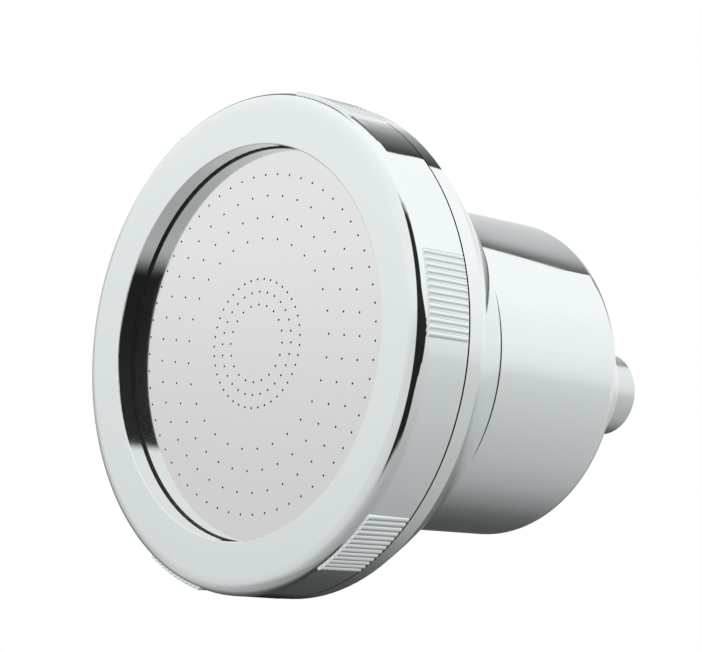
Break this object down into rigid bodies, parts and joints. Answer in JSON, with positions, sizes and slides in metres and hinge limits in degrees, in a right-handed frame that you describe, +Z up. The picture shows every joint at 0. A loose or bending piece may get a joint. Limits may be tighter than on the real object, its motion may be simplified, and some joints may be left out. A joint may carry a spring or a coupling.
{
  "type": "shower head",
  "caption": "Round chromed shower head: ribbed screw collar, perforated steel face, conical cover and filter canister on a threaded ball-joint inlet.",
  "frame": {"origin": "centre of the inlet thread's mouth", "axes": "+Y out of the inlet along the pipe, so the face looks along -Y; +Z up"},
  "size_m": [0.1278, 0.1424, 0.127],
  "materials": {
    "chrome": "bright chrome plating",
    "spray_steel": "satin stainless sheet",
    "strainer_steel": "etched stainless sheet",
    "black_rubber": "matt moulded rubber",
    "body_plastic": "moulded ABS",
    "white_plastic": "moulded plastic",
    "felt": "needled felt",
    "copper_zinc": "loose granules",
    "calcium_granules": "loose granules"
  },
  "bodies": {
    "inlet": {"swivel_stem": "chrome", "inlet_washer": "black_rubber", "inlet_screen": "strainer_steel", "flow_limiter": "white_plastic"},
    "liner": {"ball_liner": "white_plastic"},
    "head": {"ball_seal": "black_rubber", "ball_nut": "chrome", "filter_canister": "chrome", "canister_seal": "black_rubber", "head_body": "body_plastic", "rear_cover": "chrome", "cover_ring": "black_rubber", "cartridge_case": "white_plastic", "cartridge_cap": "white_plastic", "cartridge_seal": "black_rubber", "inlet_pad": "felt", "copper_zinc_media": "copper_zinc", "media_screen": "strainer_steel", "calcium_media": "calcium_granules", "outlet_pad": "felt", "plate_support": "white_plastic"},
    "plate": {"plate_gasket": "black_rubber", "spray_plate": "spray_steel"},
    "collar": {"front_collar": "chrome"}
  },
  "joints": [
    {"name": "head_swivel", "type": "hinge", "parent": "inlet", "child": "liner", "pos_m": [0, -0.0262, 0], "axis": [0, 1, 0], "continuous": true},
    {"name": "head_tilt", "type": "hinge", "parent": "liner", "child": "head", "pos_m": [0, -0.0262, 0], "axis": [1, 0, 0], "range_deg": [-15, 15]},
    {"name": "collar_travel", "type": "slide", "parent": "head", "child": "plate", "axis": [0, -1, 0], "range_m": [0, 0.0075]},
    {"name": "collar_turn", "type": "hinge", "parent": "plate", "child": "collar", "pos_m": [0, -0.1344, 0], "axis": [0, -1, 0], "range_deg": [0, 900]}
  ],
  "couplings": [
    {"joint": "collar_travel", "follows": "collar_turn", "m_per_rad": 0.00047746}
  ]
}
